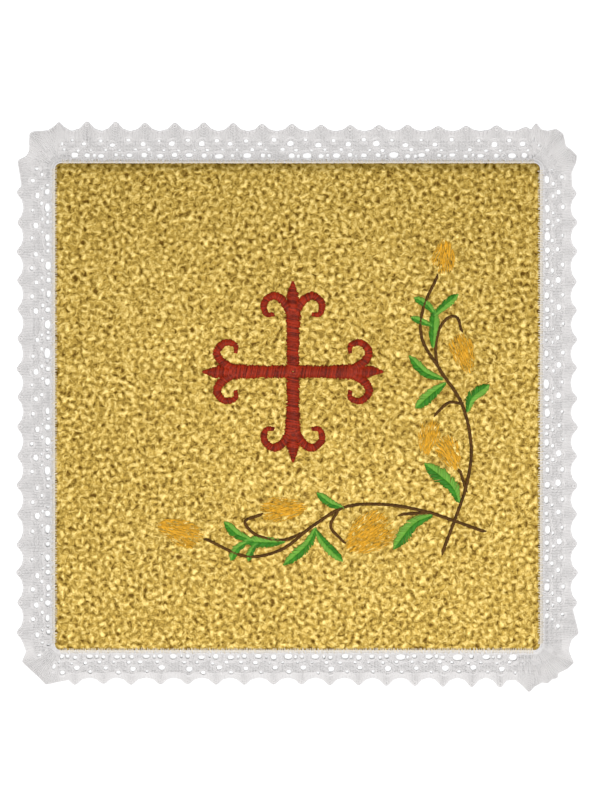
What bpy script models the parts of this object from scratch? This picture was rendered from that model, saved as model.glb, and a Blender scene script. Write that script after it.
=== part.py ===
"""Chalice pall: a stiffened square panel covered in gold lame, edged with picot lace.

Blender 4.5, metres, +Z up. The pall lies flat with its face up. The origin is at the
centre of the panel's flat underside, +Y is the top of the embroidered face and +X its
right-hand side. The lace is one strip, sewn round the panel's edge and turned at each
corner, and it lies on the same surface as the panel.
"""

import math
import random

import bmesh
import bpy

MM = 0.001

# Panel: card wrapped in lame, its cloth turned in round the edge.
PANEL_WIDTH = 150.0 * MM
PANEL_LENGTH = 150.6 * MM
PANEL_THICKNESS = 3.0 * MM
PANEL_CORNER_RADIUS = 2.2 * MM
TOP_EDGE_ROLL = 1.1 * MM
BOTTOM_EDGE_ROLL = 0.4 * MM
CORNER_SEGMENTS = 5
ROLL_SEGMENTS = 3
FACE_CROWN = 0.45 * MM
FACE_PATCHES = 6

# Lace strip
SEAM_GAP = 0.3 * MM
HEADING_WIDTH = 0.9 * MM
NET_THICKNESS = 1.0 * MM
FAN_THICKNESS = 1.15 * MM
HEADING_THICKNESS = 1.3 * MM
CORNER_THICKNESS = 1.6 * MM
COCKLE = 0.35 * MM
COCKLES_ROUND = 23
FAN_START = 0.52
TIP_WANDER = 0.22 * MM
TIP_SEED = 12

# One picot: place along the pitch from its tip, and how far it falls towards the valley.
PICOT_PROFILE = (
    {"along": -0.22, "fall": 0.72},
    {"along": -0.08, "fall": 0.20},
    {"along": 0.00, "fall": 0.00},
    {"along": 0.08, "fall": 0.20},
    {"along": 0.22, "fall": 0.72},
    {"along": 0.50, "fall": 1.00},
)

# Each side, clockwise from the top. First and last are picot tips, measured along the side
# from the panel's centre, and the reaches are from the panel's edge.
SIDES = (
    {"side": "top", "picots": 16, "first": -65.1, "last": 70.4,
     "reach_first": 13.0, "reach_middle": 12.2, "reach_last": 11.3, "valley": 9.6},
    {"side": "right", "picots": 15, "first": 65.7, "last": -60.5,
     "reach_first": 11.6, "reach_middle": 11.6, "reach_last": 11.8, "valley": 9.3},
    {"side": "bottom", "picots": 16, "first": 62.6, "last": -68.8,
     "reach_first": 12.0, "reach_middle": 11.1, "reach_last": 10.9, "valley": 8.4},
    {"side": "left", "picots": 16, "first": -69.7, "last": 66.0,
     "reach_first": 12.0, "reach_middle": 11.8, "reach_last": 11.8, "valley": 9.6},
)

# How the strip turns each corner, in mm out from the panel's corner: along the side just
# left, and along the side just begun. No two corners are folded alike.
CORNERS = (
    {"corner": "top_right", "turn": (
        {"before": 12.4, "after": -1.2}, {"before": 10.2, "after": 0.3},
        {"before": 9.7, "after": 2.5}, {"before": 10.5, "after": 5.0},
        {"before": 9.0, "after": 7.1}, {"before": 5.0, "after": 7.8},
        {"before": 4.0, "after": 9.6}, {"before": 2.2, "after": 11.5},
        {"before": 0.0, "after": 11.1}, {"before": -3.1, "after": 9.6})},
    {"corner": "bottom_right", "turn": (
        {"before": 12.0, "after": -5.2}, {"before": 9.6, "after": -3.1},
        {"before": 8.7, "after": 0.0}, {"before": 9.6, "after": 2.5},
        {"before": 10.5, "after": 4.0}, {"before": 8.4, "after": 5.9},
        {"before": 5.6, "after": 7.1}, {"before": 5.4, "after": 8.7},
        {"before": 3.7, "after": 9.0}, {"before": 2.2, "after": 10.4},
        {"before": 0.6, "after": 9.9}, {"before": -1.9, "after": 11.4},
        {"before": -3.4, "after": 13.2}, {"before": -5.0, "after": 11.4},
        {"before": -7.6, "after": 9.2})},
    {"corner": "bottom_left", "turn": (
        {"before": 10.8, "after": 2.8}, {"before": 8.4, "after": 5.0},
        {"before": 5.9, "after": 7.8}, {"before": 3.7, "after": 10.2},
        {"before": 0.6, "after": 8.7})},
    {"corner": "top_left", "turn": (
        {"before": 11.5, "after": 0.6}, {"before": 8.7, "after": 1.9},
        {"before": 7.8, "after": 4.0}, {"before": 7.8, "after": 9.0},
        {"before": 7.1, "after": 9.6}, {"before": 2.2, "after": 9.9},
        {"before": 0.3, "after": 11.1}, {"before": -1.2, "after": 12.7},
        {"before": -2.6, "after": 11.1}, {"before": -5.2, "after": 9.6})},
)


def clear_scene():
    for old in list(bpy.data.objects):
        bpy.data.objects.remove(old, do_unlink=True)


def make_material(name, colour, roughness, metallic):
    material = bpy.data.materials.new(name)
    material.use_nodes = True
    shader = material.node_tree.nodes["Principled BSDF"]
    shader.inputs["Base Color"].default_value = (*colour, 1.0)
    shader.inputs["Roughness"].default_value = roughness
    shader.inputs["Metallic"].default_value = metallic
    material.diffuse_color = (*colour, 1.0)
    return material


def add_object(name, mesh, material, collection):
    mesh.materials.append(material)
    piece = bpy.data.objects.new(name, mesh)
    collection.objects.link(piece)
    return piece


def make_panel(material, collection):
    """A slab with a low crown on its face, round corners and a rolled rim."""
    bm = bmesh.new()
    bmesh.ops.create_grid(bm, x_segments=FACE_PATCHES, y_segments=FACE_PATCHES, size=0.5)
    block = bmesh.ops.extrude_face_region(bm, geom=bm.faces[:], use_keep_orig=True)
    face = [item for item in block["geom"] if isinstance(item, bmesh.types.BMVert)]
    for vert in face:
        across = 1.0 - (2.0 * vert.co.x) ** 2
        along = 1.0 - (2.0 * vert.co.y) ** 2
        vert.co.z = PANEL_THICKNESS + FACE_CROWN * across * along
    bmesh.ops.scale(bm, vec=(PANEL_WIDTH, PANEL_LENGTH, 1.0), verts=bm.verts)
    bmesh.ops.recalc_face_normals(bm, faces=bm.faces)

    corners = [edge for edge in bm.edges
               if edge.calc_length() < PANEL_THICKNESS * 1.01
               and abs(abs(edge.verts[0].co.x) - PANEL_WIDTH / 2.0) < 1e-6
               and abs(abs(edge.verts[0].co.y) - PANEL_LENGTH / 2.0) < 1e-6]
    bmesh.ops.bevel(bm, geom=corners, offset=PANEL_CORNER_RADIUS, offset_type="OFFSET",
                    segments=CORNER_SEGMENTS, profile=0.5, affect="EDGES")
    for level, roll in ((PANEL_THICKNESS, TOP_EDGE_ROLL), (0.0, BOTTOM_EDGE_ROLL)):
        rim = [edge for edge in bm.edges
               if all(abs(vert.co.z - level) < 1e-6 for vert in edge.verts)
               and edge.calc_face_angle() > math.radians(45.0)]
        bmesh.ops.bevel(bm, geom=rim, offset=roll, offset_type="OFFSET",
                        segments=ROLL_SEGMENTS, profile=0.5, affect="EDGES")

    mesh = bpy.data.meshes.new("panel")
    bm.to_mesh(mesh)
    bm.free()
    panel = add_object("panel", mesh, material, collection)
    mesh.shade_smooth()
    mesh.set_sharp_from_angle(angle=math.radians(40.0))
    return panel


def side_frame(side):
    """The side's middle on the panel's edge, the way along it clockwise, and the way out."""
    half_width = PANEL_WIDTH / 2.0
    half_length = PANEL_LENGTH / 2.0
    frames = {
        "top": ((0.0, half_length), (1.0, 0.0), (0.0, 1.0)),
        "right": ((half_width, 0.0), (0.0, -1.0), (1.0, 0.0)),
        "bottom": ((0.0, -half_length), (-1.0, 0.0), (0.0, -1.0)),
        "left": ((-half_width, 0.0), (0.0, 1.0), (-1.0, 0.0)),
    }
    return frames[side]


def side_outline(row, wander):
    """The picots of one side as (x, y), clockwise, from the row's first tip to its last."""
    middle, along, out = side_frame(row["side"])
    sense = along[0] + along[1]
    pitch = abs(row["last"] - row["first"]) / (row["picots"] - 1)
    points = []
    for index in range(row["picots"]):
        share = index / (row["picots"] - 1)
        if share < 0.5:
            reach = row["reach_first"] + (row["reach_middle"] - row["reach_first"]) * share * 2.0
        else:
            reach = row["reach_middle"] + (row["reach_last"] - row["reach_middle"]) * (share * 2.0 - 1.0)
        reach = reach * MM + wander.uniform(-TIP_WANDER, TIP_WANDER)
        tip = (row["first"] + (row["last"] - row["first"]) * share) * MM * sense
        tip += wander.uniform(-TIP_WANDER, TIP_WANDER)
        for step in PICOT_PROFILE:
            if index == row["picots"] - 1 and step["along"] == 0.5:
                continue
            place = tip + step["along"] * pitch * MM
            height = reach - (reach - row["valley"] * MM) * step["fall"]
            points.append((middle[0] + along[0] * place + out[0] * height,
                           middle[1] + along[1] * place + out[1] * height))
    return points


def corner_outline(row, before, after):
    """The turn of one corner as (x, y), between the sides before and after it."""
    _, _, out_before = side_frame(before)
    _, _, out_after = side_frame(after)
    corner = ((out_before[0] + out_after[0]) * PANEL_WIDTH / 2.0,
              (out_before[1] + out_after[1]) * PANEL_LENGTH / 2.0)
    return [(corner[0] + (out_before[0] * step["before"] + out_after[0] * step["after"]) * MM,
             corner[1] + (out_before[1] * step["before"] + out_after[1] * step["after"]) * MM)
            for step in row["turn"]]


def lace_outline():
    """The strip's outer edge all the way round, with True for the points of a corner."""
    wander = random.Random(TIP_SEED)
    outline = []
    for index, row in enumerate(SIDES):
        outline += [(point, False) for point in side_outline(row, wander)]
        following = SIDES[(index + 1) % len(SIDES)]["side"]
        turn = corner_outline(CORNERS[index], row["side"], following)
        outline += [(point, True) for point in turn]
    return outline


def seam_point(point):
    """The place on the strip's inner edge, a seam's gap off the panel, nearest to a point."""
    radius = PANEL_CORNER_RADIUS + SEAM_GAP
    core_x = PANEL_WIDTH / 2.0 + SEAM_GAP - radius
    core_y = PANEL_LENGTH / 2.0 + SEAM_GAP - radius
    core = (max(-core_x, min(core_x, point[0])), max(-core_y, min(core_y, point[1])))
    offset = (point[0] - core[0], point[1] - core[1])
    distance = math.hypot(*offset)
    return core[0] + offset[0] * radius / distance, core[1] + offset[1] * radius / distance


def make_lace(material, collection):
    """A grid bent into a ring between the seam and the picot outline, then given thickness."""
    outline = lace_outline()
    columns = len(outline)
    rows = ("seam", "heading", "fan", "edge")
    bpy.ops.mesh.primitive_grid_add(x_subdivisions=columns, y_subdivisions=len(rows) - 1,
                                    size=1.0)
    strip = bpy.context.active_object
    strip.name = "lace_edging"
    mesh = strip.data
    mesh.name = "lace_edging"

    thickest = max(CORNER_THICKNESS, HEADING_THICKNESS)
    group = strip.vertex_groups.new(name="thickness")
    for vert in mesh.vertices:
        column = round((vert.co.x + 0.5) * columns) % columns
        row = rows[round((0.5 - vert.co.y) * (len(rows) - 1))]
        (outer_x, outer_y), in_corner = outline[column]
        inner_x, inner_y = seam_point((outer_x, outer_y))
        width = math.hypot(outer_x - inner_x, outer_y - inner_y)
        share = {"seam": 0.0, "heading": HEADING_WIDTH / width, "fan": FAN_START, "edge": 1.0}[row]
        ripple = math.sin(2.0 * math.pi * COCKLES_ROUND * column / columns)
        lift = COCKLE * max(0.0, ripple) ** 2 * share if row in ("fan", "edge") else 0.0
        vert.co = (inner_x + (outer_x - inner_x) * share,
                   inner_y + (outer_y - inner_y) * share, lift)
        thickness = {"seam": HEADING_THICKNESS, "heading": NET_THICKNESS,
                     "fan": FAN_THICKNESS, "edge": NET_THICKNESS}[row]
        if in_corner and row in ("heading", "fan"):
            thickness = CORNER_THICKNESS
        group.add([vert.index], thickness / thickest, "REPLACE")

    bm = bmesh.new()
    bm.from_mesh(mesh)
    bmesh.ops.remove_doubles(bm, verts=bm.verts, dist=1e-7)
    bmesh.ops.recalc_face_normals(bm, faces=bm.faces)
    if sum(face.normal.z for face in bm.faces) < 0.0:
        bmesh.ops.reverse_faces(bm, faces=bm.faces)
    bm.to_mesh(mesh)
    bm.free()

    solid = strip.modifiers.new("Thickness", "SOLIDIFY")
    solid.thickness = thickest
    solid.offset = 1.0
    solid.vertex_group = group.name

    for holder in list(strip.users_collection):
        holder.objects.unlink(strip)
    collection.objects.link(strip)
    mesh.materials.append(material)
    return strip


def main():
    clear_scene()
    collection = bpy.data.collections.new("chalice_pall")
    bpy.context.scene.collection.children.link(collection)
    lame = make_material("gold_lame", (0.56, 0.38, 0.09), 0.42, 0.6)
    cotton = make_material("white_cotton_lace", (0.80, 0.79, 0.77), 0.9, 0.0)
    make_panel(lame, collection)
    make_lace(cotton, collection)


main()
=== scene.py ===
"""Chalice pall: the gold lame panel, its lace edging of real threads, and its embroidery.

Every length is in metres. The pall lies flat, face up, with +Y at the top of its face.
"""

import math
import random

import bpy
import numpy as np
from bpy.props import FloatProperty, FloatVectorProperty, IntProperty, PointerProperty
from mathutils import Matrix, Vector, noise


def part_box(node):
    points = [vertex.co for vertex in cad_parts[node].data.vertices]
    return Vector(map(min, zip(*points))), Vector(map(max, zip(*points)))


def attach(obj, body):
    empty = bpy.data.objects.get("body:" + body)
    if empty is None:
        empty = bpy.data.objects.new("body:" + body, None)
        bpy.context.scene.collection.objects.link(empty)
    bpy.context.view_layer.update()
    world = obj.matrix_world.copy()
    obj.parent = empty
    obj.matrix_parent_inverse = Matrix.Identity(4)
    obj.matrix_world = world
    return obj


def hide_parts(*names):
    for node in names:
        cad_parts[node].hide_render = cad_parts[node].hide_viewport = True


bl_info = {
    "name": "Chalice Pall",
    "version": (1, 0, 0),
    "blender": (4, 5, 0),
    "location": "View3D > Sidebar > Pall",
    "description": "Makes a gold chalice pall with picot lace and silk embroidery",
    "category": "Object",
}

MM = 0.001

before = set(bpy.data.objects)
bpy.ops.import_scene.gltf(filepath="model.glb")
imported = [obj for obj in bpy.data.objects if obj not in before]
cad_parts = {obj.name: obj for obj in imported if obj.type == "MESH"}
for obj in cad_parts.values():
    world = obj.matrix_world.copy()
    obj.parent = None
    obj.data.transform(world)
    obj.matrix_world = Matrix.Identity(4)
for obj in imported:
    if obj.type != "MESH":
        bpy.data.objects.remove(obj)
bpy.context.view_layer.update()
PANEL_LOW, PANEL_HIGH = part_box("panel")
PANEL_WIDTH = PANEL_HIGH.x - PANEL_LOW.x
PANEL_LENGTH = PANEL_HIGH.y - PANEL_LOW.y

# The panel's sizes that its box doesn't give.
PANEL_THICKNESS = 3.0 * MM
PANEL_CROWN = PANEL_HIGH.z - PANEL_THICKNESS
CORNER_RADIUS = 2.2 * MM
TOP_ROLL = 1.1 * MM
BOTTOM_ROLL = 0.4 * MM
SEAM_GAP = 0.3 * MM

# The rolled rim is wide along the top side and narrow along the others. It widens over a
# stretch that ends a little below the top edge.
ROLL_WIDTH = 3.6 * MM
NARROW_ROLL = 1.0 * MM
WIDENING_START = 8.0 * MM
WIDENING = 6.0 * MM
RIM_ANGLES = (0, 16, 26, 36, 46, 56, 66, 76)
SMOOTH_ANGLE = math.radians(50.0)
CRINKLE_FADE = 1.6 * MM
UNDERSIDE_MARGIN = 0.8 * MM

# The lace strip's outline, as the frame's strip has it.
TIP_WANDER = 0.22 * MM
TIP_SEED = 12
PICOT_PROFILE = (
    {"along": -0.22, "fall": 0.72},
    {"along": -0.08, "fall": 0.20},
    {"along": 0.00, "fall": 0.00},
    {"along": 0.08, "fall": 0.20},
    {"along": 0.22, "fall": 0.72},
    {"along": 0.50, "fall": 1.00},
)
SIDES = (
    {"side": "top", "picots": 16, "first": -65.1, "last": 70.4,
     "reach_first": 13.0, "reach_middle": 12.2, "reach_last": 11.3, "valley": 9.6},
    {"side": "right", "picots": 15, "first": 65.7, "last": -60.5,
     "reach_first": 11.6, "reach_middle": 11.6, "reach_last": 11.8, "valley": 9.3},
    {"side": "bottom", "picots": 16, "first": 62.6, "last": -68.8,
     "reach_first": 12.0, "reach_middle": 11.1, "reach_last": 10.9, "valley": 8.4},
    {"side": "left", "picots": 16, "first": -69.7, "last": 66.0,
     "reach_first": 12.0, "reach_middle": 11.8, "reach_last": 11.8, "valley": 9.6},
)
CORNERS = (
    {"corner": "top_right", "turn": (
        {"before": 12.4, "after": -1.2}, {"before": 10.2, "after": 0.3},
        {"before": 9.7, "after": 2.5}, {"before": 10.5, "after": 5.0},
        {"before": 9.0, "after": 7.1}, {"before": 5.0, "after": 7.8},
        {"before": 4.0, "after": 9.6}, {"before": 2.2, "after": 11.5},
        {"before": 0.0, "after": 11.1}, {"before": -3.1, "after": 9.6})},
    {"corner": "bottom_right", "turn": (
        {"before": 12.0, "after": -5.2}, {"before": 9.6, "after": -3.1},
        {"before": 8.7, "after": 0.0}, {"before": 9.6, "after": 2.5},
        {"before": 10.5, "after": 4.0}, {"before": 8.4, "after": 5.9},
        {"before": 5.6, "after": 7.1}, {"before": 5.4, "after": 8.7},
        {"before": 3.7, "after": 9.0}, {"before": 2.2, "after": 10.4},
        {"before": 0.6, "after": 9.9}, {"before": -1.9, "after": 11.4},
        {"before": -3.4, "after": 13.2}, {"before": -5.0, "after": 11.4},
        {"before": -7.6, "after": 9.2})},
    {"corner": "bottom_left", "turn": (
        {"before": 10.8, "after": 2.8}, {"before": 8.4, "after": 5.0},
        {"before": 5.9, "after": 7.8}, {"before": 3.7, "after": 10.2},
        {"before": 0.6, "after": 8.7})},
    {"corner": "top_left", "turn": (
        {"before": 11.5, "after": 0.6}, {"before": 8.7, "after": 1.9},
        {"before": 7.8, "after": 4.0}, {"before": 7.8, "after": 9.0},
        {"before": 7.1, "after": 9.6}, {"before": 2.2, "after": 9.9},
        {"before": 0.3, "after": 11.1}, {"before": -1.2, "after": 12.7},
        {"before": -2.6, "after": 11.1}, {"before": -5.2, "after": 9.6})},
)

# Holes of one picot's repeat of the lace: where along from the tip, in pitches, and how far
# from the seam, and the half sizes along and across, in mm.
HOLES = (
    {"along": 0.50, "out": 1.75, "half_along": 1.35, "half_across": 0.95},
    {"along": 0.00, "out": 1.75, "half_along": 0.90, "half_across": 0.88},
    {"along": 0.24, "out": 1.75, "half_along": 0.58, "half_across": 0.66},
    {"along": 0.11, "out": 3.60, "half_along": 0.60, "half_across": 0.52},
    {"along": -0.34, "out": 3.55, "half_along": 0.60, "half_across": 0.52},
    {"along": -0.08, "out": 5.30, "half_along": 0.90, "half_across": 0.72},
    {"along": 0.44, "out": 6.60, "half_along": 0.64, "half_across": 0.58},
)
HOLE_DRIFT = 0.035
HOLE_SHIFT = 0.25
HOLE_SIZES = (0.75, 1.20)
HOLE_MISSING = 0.05
# How far a turned corner's gathers reach, in pitches, beside the seam and further out.
SEAM_HOLES_END = 2.8 * MM
GATHER_AT_SEAM = -0.30
GATHER_BEYOND = -0.85
# A thread's places are read in blocks, which keeps the arrays small.
BLOCK = 400
# A thread that passes nearer to a hole's middle than this share of it is cut there.
HOLE_CLEAR = 0.88

# The corner spray, in mm on the face. Leaves run from the stem to their tip.
STEMS = (
    {"line": ((44.5, -45.0), (48.0, -35.8), (52.0, -24.0), (53.4, -12.0), (50.5, 0.8),
              (44.0, 11.0), (38.3, 20.8), (38.6, 30.0), (43.1, 40.2)), "width": 1.20},
    {"line": ((57.5, -38.5), (48.3, -35.2), (39.0, -32.2), (27.5, -30.2), (15.0, -30.8),
              (5.0, -36.5), (-5.0, -44.0), (-16.0, -46.0), (-28.3, -40.7)), "width": 1.15},
    {"line": ((42.9, 12.4), (42.5, 18.5), (43.7, 24.0), (46.4, 27.3), (49.1, 27.2), (50.4, 23.2)),
     "width": 1.10},
    {"line": ((50.4, 0.9), (46.4, 1.1), (42.2, -2.6)), "width": 1.05},
    {"line": ((-11.0, -33.2), (-16.0, -35.3), (-12.8, -39.4), (-4.8, -41.1), (3.0, -38.2)),
     "width": 1.10},
    {"line": ((12.4, -32.0), (10.3, -37.0), (14.4, -41.9)), "width": 1.05},
    {"line": ((49.9, -19.6), (51.9, -26.0)), "width": 1.00},
    {"line": ((31.7, -33.2), (40.5, -32.5)), "width": 1.20},
)
LEAVES = (
    {"line": ((41.6, 18.2), (41.9, 23.7), (42.2, 29.8)), "width": 3.2},
    {"line": ((42.0, 28.0), (45.6, 31.4), (49.3, 34.4)), "width": 2.7},
    {"line": ((42.2, 28.4), (39.6, 31.4), (36.0, 33.4)), "width": 2.5},
    {"line": ((41.2, 24.8), (38.2, 26.1), (35.0, 27.4)), "width": 2.2},
    {"line": ((44.6, 8.4), (39.2, 10.6), (34.4, 15.5)), "width": 3.0},
    {"line": ((45.5, 7.2), (41.6, 4.2), (36.4, -0.4)), "width": 3.6},
    {"line": ((52.2, -1.6), (53.8, 2.8), (58.8, 6.6)), "width": 3.6},
    {"line": ((49.6, -29.4), (47.2, -24.2), (39.2, -17.6)), "width": 4.6},
    {"line": ((41.4, -33.4), (35.6, -36.2), (29.6, -43.7)), "width": 4.2},
    {"line": ((14.2, -31.2), (10.2, -29.7), (6.1, -26.6)), "width": 2.7},
    {"line": ((-4.0, -41.6), (-10.5, -41.7), (-16.5, -41.2)), "width": 3.5},
    {"line": ((-14.0, -41.2), (-18.8, -39.0), (-22.4, -35.5)), "width": 3.0},
    {"line": ((-15.2, -41.4), (-18.6, -43.8), (-20.5, -47.2)), "width": 2.6},
    {"line": ((-12.2, -41.8), (-14.2, -44.4), (-15.1, -47.4)), "width": 2.1},
    {"line": ((5.6, -37.4), (2.8, -42.6), (-4.2, -48.7)), "width": 3.4},
    {"line": ((5.7, -38.2), (8.4, -42.2), (13.8, -47.5)), "width": 3.0},
)
BUDS = (
    {"centre": (45.0, 46.4), "length": 12.5, "width": 7.4, "angle": 84.0},
    {"centre": (51.0, 16.4), "length": 15.0, "width": 7.8, "angle": -72.0},
    {"centre": (40.2, -9.4), "length": 12.8, "width": 7.4, "angle": -100.0},
    {"centre": (46.7, -14.2), "length": 13.2, "width": 7.8, "angle": -62.0},
    {"centre": (21.8, -39.2), "length": 19.0, "width": 13.0, "angle": -147.0},
    {"centre": (-4.3, -31.5), "length": 17.0, "width": 8.2, "angle": 6.0},
    {"centre": (-36.2, -38.6), "length": 17.5, "width": 8.6, "angle": 160.0},
)

# One arm of the red cross, in mm from its centre, +y outwards.
CROSS_CENTRE = (-1.4, 10.7)
CROSS_BAR = {"line": ((0.0, 0.4), (0.0, 9.0), (0.0, 19.5)), "halves": (1.9, 1.9, 2.4)}
CROSS_PETAL = {"line": ((0.0, 19.0), (0.0, 23.2), (0.0, 27.6)), "halves": (1.2, 1.9, 0.3)}
CROSS_CURL = {"line": ((0.8, 17.6), (2.6, 21.4), (6.0, 23.4), (8.9, 21.0), (8.2, 17.8), (5.9, 17.6)),
              "halves": (0.9, 1.35, 1.2, 1.05, 0.9, 0.5)}


# Settings

def colour(name, description, default):
    """A colour that a user can change."""
    return FloatVectorProperty(name=name, description=description, default=default,
                               subtype="COLOR", min=0.0, max=1.0)


def length(name, description, default):
    """A length that a user can change."""
    return FloatProperty(name=name, description=description, default=default,
                         unit="LENGTH", precision=5)


class PallPanelSettings(bpy.types.PropertyGroup):
    cell: length("Cell", "Width of one face of the cloth's mesh", 0.60 * MM)
    crinkle: length("Crinkle", "Height of the cloth's crinkles", 0.09 * MM)
    crinkle_pitch: length("Crinkle pitch", "Distance from one crinkle to the next", 2.5 * MM)
    # Dark gold is painted shade in the crinkles' creases, and light gold is a painted highlight on
    # their ridges.
    dark: colour("Dark gold", "Colour of the lame in its creases", (0.072, 0.034, 0.0004))
    light: colour("Light gold", "Colour of the lame on its ridges", (0.585, 0.434, 0.144))


class PallLaceSettings(bpy.types.PropertyGroup):
    row_radius: length("Row thread", "Radius of the threads that run along the strip", 0.16 * MM)
    bar_radius: length("Bar thread", "Radius of the threads that cross the strip", 0.145 * MM)
    bars: IntProperty(
        name="Bars", description="Threads that cross the strip in each picot's repeat",
        default=20, min=4, max=40)
    white: colour("White", "Colour of the cotton", (0.645, 0.628, 0.620))
    sewing: colour("Sewing thread", "Colour of the thread of the seam", (0.78, 0.70, 0.56))


class PallEmbroiderySettings(bpy.types.PropertyGroup):
    thread: length("Thread", "Radius of the embroidery silk", 0.19 * MM)
    spacing: length("Spacing", "Distance between satin stitches", 0.34 * MM)
    red: colour("Red", "Silk of the cross", (0.285, 0.020, 0.003))
    green: colour("Green", "Silk of the leaves' shaded halves", (0.050, 0.262, 0.016))
    light_green: colour("Light green", "Silk of the leaves' lighter halves", (0.182, 0.43, 0.052))
    brown: colour("Brown", "Silk of the stems", (0.074, 0.030, 0.002))
    orange: colour("Orange", "Silk of the buds", (0.64, 0.335, 0.018))
    bud_cover: FloatProperty(
        name="Bud cover", description="Stitches on each square millimetre of a bud",
        default=2.3, min=0.1, max=6.0)


class PallStageSettings(bpy.types.PropertyGroup):
    view_height: length("View height", "Height of the strip of table that the camera sees",
                        247.4 * MM)
    lens: FloatProperty(name="Lens", description="Focal length in mm", default=85.0)
    key: FloatProperty(name="Key light", description="Power of the window light", default=28.0)
    fill: FloatProperty(name="Fill", description="Strength of the room's light", default=0.55)


# Materials

# The lame's colour rises with its crinkles' height: painted shade in the creases, a painted
# highlight on the ridges, and the middle gold between them.
FOIL_RIDGES = 435.0
FOIL_BEAT = 1.3
FOIL_TONES = (0.565, 0.985)
FOIL_BUMP = 0.35 * MM
MIDDLE_GOLD = (0.303, 0.200, 0.035, 1.0)
BLOTCHES = 900.0
FIBRES = 7000.0


def new_group(name, inputs, outputs):
    """An empty shader node group with the named sockets, and its two end nodes."""
    group = bpy.data.node_groups.new(name, "ShaderNodeTree")
    for title, kind, value in inputs:
        socket = group.interface.new_socket(name=title, in_out="INPUT", socket_type=kind)
        if value is not None:
            socket.default_value = value
    for title, kind in outputs:
        group.interface.new_socket(name=title, in_out="OUTPUT", socket_type=kind)
    return group, group.nodes.new("NodeGroupInput"), group.nodes.new("NodeGroupOutput")


def math_node(tree, operation, first, second=0.5):
    node = tree.nodes.new("ShaderNodeMath")
    node.operation = operation
    for socket, value in zip(node.inputs, (first, second)):
        if isinstance(value, (int, float)):
            socket.default_value = value
        else:
            tree.links.new(value, socket)
    return node.outputs[0]


def noise_node(tree, vector, scale, detail, roughness, distortion=0.0):
    node = tree.nodes.new("ShaderNodeTexNoise")
    node.inputs["Detail"].default_value = detail
    node.inputs["Roughness"].default_value = roughness
    node.inputs["Distortion"].default_value = distortion
    if isinstance(scale, (int, float)):
        node.inputs["Scale"].default_value = scale
    else:
        tree.links.new(scale, node.inputs["Scale"])
    tree.links.new(vector, node.inputs["Vector"])
    return node.outputs["Fac"]


def map_range(tree, value, low, high, to_low=0.0, to_high=1.0):
    node = tree.nodes.new("ShaderNodeMapRange")
    tree.links.new(value, node.inputs["Value"])
    for title, number in (("From Min", low), ("From Max", high),
                          ("To Min", to_low), ("To Max", to_high)):
        node.inputs[title].default_value = number
    return node.outputs["Result"]


def crinkle_group():
    """Foil that has been crushed: short bent ridges. Its tone follows their height: a painted
    highlight on the ridges and painted shade in the creases.
    """
    group, start, end = new_group(
        "Crushed foil",
        [("Vector", "NodeSocketVector", None), ("Ridges per metre", "NodeSocketFloat", 400.0)],
        [("Painted shade and tone", "NodeSocketFloat"), ("Height", "NodeSocketFloat")])
    vector, ridges = start.outputs["Vector"], start.outputs["Ridges per metre"]
    gabor = group.nodes.new("ShaderNodeTexGabor")
    gabor.inputs["Frequency"].default_value = FOIL_BEAT
    gabor.inputs["Anisotropy"].default_value = 0.0
    group.links.new(vector, gabor.inputs["Vector"])
    group.links.new(math_node(group, "MULTIPLY", ridges, 1.0 / FOIL_BEAT), gabor.inputs["Scale"])
    fine = noise_node(group, vector, math_node(group, "MULTIPLY", ridges, 1.5), 3.0, 0.75, 0.8)
    mixed = math_node(group, "ADD", math_node(group, "MULTIPLY", gabor.outputs["Value"], 0.50),
                      math_node(group, "MULTIPLY", fine, 1.05))
    # Slight random patches of tone on top of the painted light and shade of the crinkles.
    patch = noise_node(group, vector, math_node(group, "MULTIPLY", ridges, 0.05), 1.0, 0.5)
    worn = math_node(group, "MULTIPLY", math_node(group, "SUBTRACT", patch, 0.5), 0.06)
    shade_and_tone = map_range(group, math_node(group, "ADD", mixed, worn), *FOIL_TONES)
    group.links.new(shade_and_tone, end.inputs["Painted shade and tone"])
    group.links.new(mixed, end.inputs["Height"])
    return group


def thread_group():
    """Spun thread: one tone for each stitch, mottled along it, with a fibrous skin."""
    group, start, end = new_group(
        "Spun thread",
        [("Vector", "NodeSocketVector", None), ("Dark", "NodeSocketColor", (0.1, 0.1, 0.1, 1.0)),
         ("Light", "NodeSocketColor", (0.8, 0.8, 0.8, 1.0)), ("Stitch", "NodeSocketFloat", 0.5),
         ("Mottle", "NodeSocketFloat", 0.5)],
        [("Color", "NodeSocketColor"), ("Height", "NodeSocketFloat")])
    vector = start.outputs["Vector"]
    blotch = noise_node(group, vector, BLOTCHES, 2.0, 0.6)
    fibre = noise_node(group, vector, FIBRES, 1.0, 0.5)
    swing = math_node(group, "MULTIPLY", math_node(group, "SUBTRACT", blotch, 0.5),
                      start.outputs["Mottle"])
    share = math_node(group, "ADD", swing, start.outputs["Stitch"])
    mix = group.nodes.new("ShaderNodeMix")
    mix.data_type = "RGBA"
    group.links.new(share, mix.inputs["Factor"])
    group.links.new(start.outputs["Dark"], mix.inputs["A"])
    group.links.new(start.outputs["Light"], mix.inputs["B"])
    group.links.new(mix.outputs["Result"], end.inputs["Color"])
    group.links.new(fibre, end.inputs["Height"])
    return group


def shared_group(name, make):
    return bpy.data.node_groups.get(name) or make()


def new_material(name, roughness, metallic=0.0):
    material = bpy.data.materials.new(name)
    material.use_nodes = True
    shader = material.node_tree.nodes["Principled BSDF"]
    shader.inputs["Roughness"].default_value = roughness
    shader.inputs["Metallic"].default_value = metallic
    return material, material.node_tree, shader


def add_bump(tree, height, shader, distance, strength):
    bump = tree.nodes.new("ShaderNodeBump")
    bump.inputs["Distance"].default_value = distance
    bump.inputs["Strength"].default_value = strength
    tree.links.new(height, bump.inputs["Height"])
    tree.links.new(bump.outputs["Normal"], shader.inputs["Normal"])


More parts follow.
